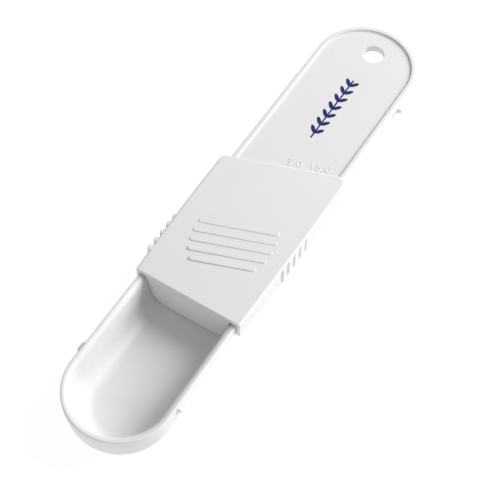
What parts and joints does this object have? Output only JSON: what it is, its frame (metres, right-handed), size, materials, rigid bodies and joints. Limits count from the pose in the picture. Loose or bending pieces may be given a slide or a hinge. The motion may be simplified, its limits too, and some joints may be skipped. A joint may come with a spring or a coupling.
{
  "type": "adjustable measuring spoon",
  "caption": "Long plastic measuring spoon whose sliding sleeve carries a dam that sets how much of the trough is used, with a hanging hole.",
  "frame": {"origin": "bottom centre of the whole object with the slider at its largest measure; the flat under the bowl stands on Z = 0", "axes": "+Y along the spoon from the bowl to the hanging hole, +Z out of the open side of the trough, X across"},
  "size_m": [0.0402, 0.178, 0.0164],
  "materials": {
    "spoon_plastic": "satin white moulded plastic",
    "slider_plastic": "satin white moulded plastic",
    "ink": "flat blue pad-printed ink"
  },
  "bodies": {
    "spoon": {"spoon_body": "spoon_plastic", "printed_mark": "ink"},
    "slider": {"slider": "slider_plastic"}
  },
  "joints": [
    {"name": "slider_travel", "type": "slide", "parent": "spoon", "child": "slider", "axis": [0, 1, 0], "range_m": [-0.0273, 0.0017]}
  ]
}
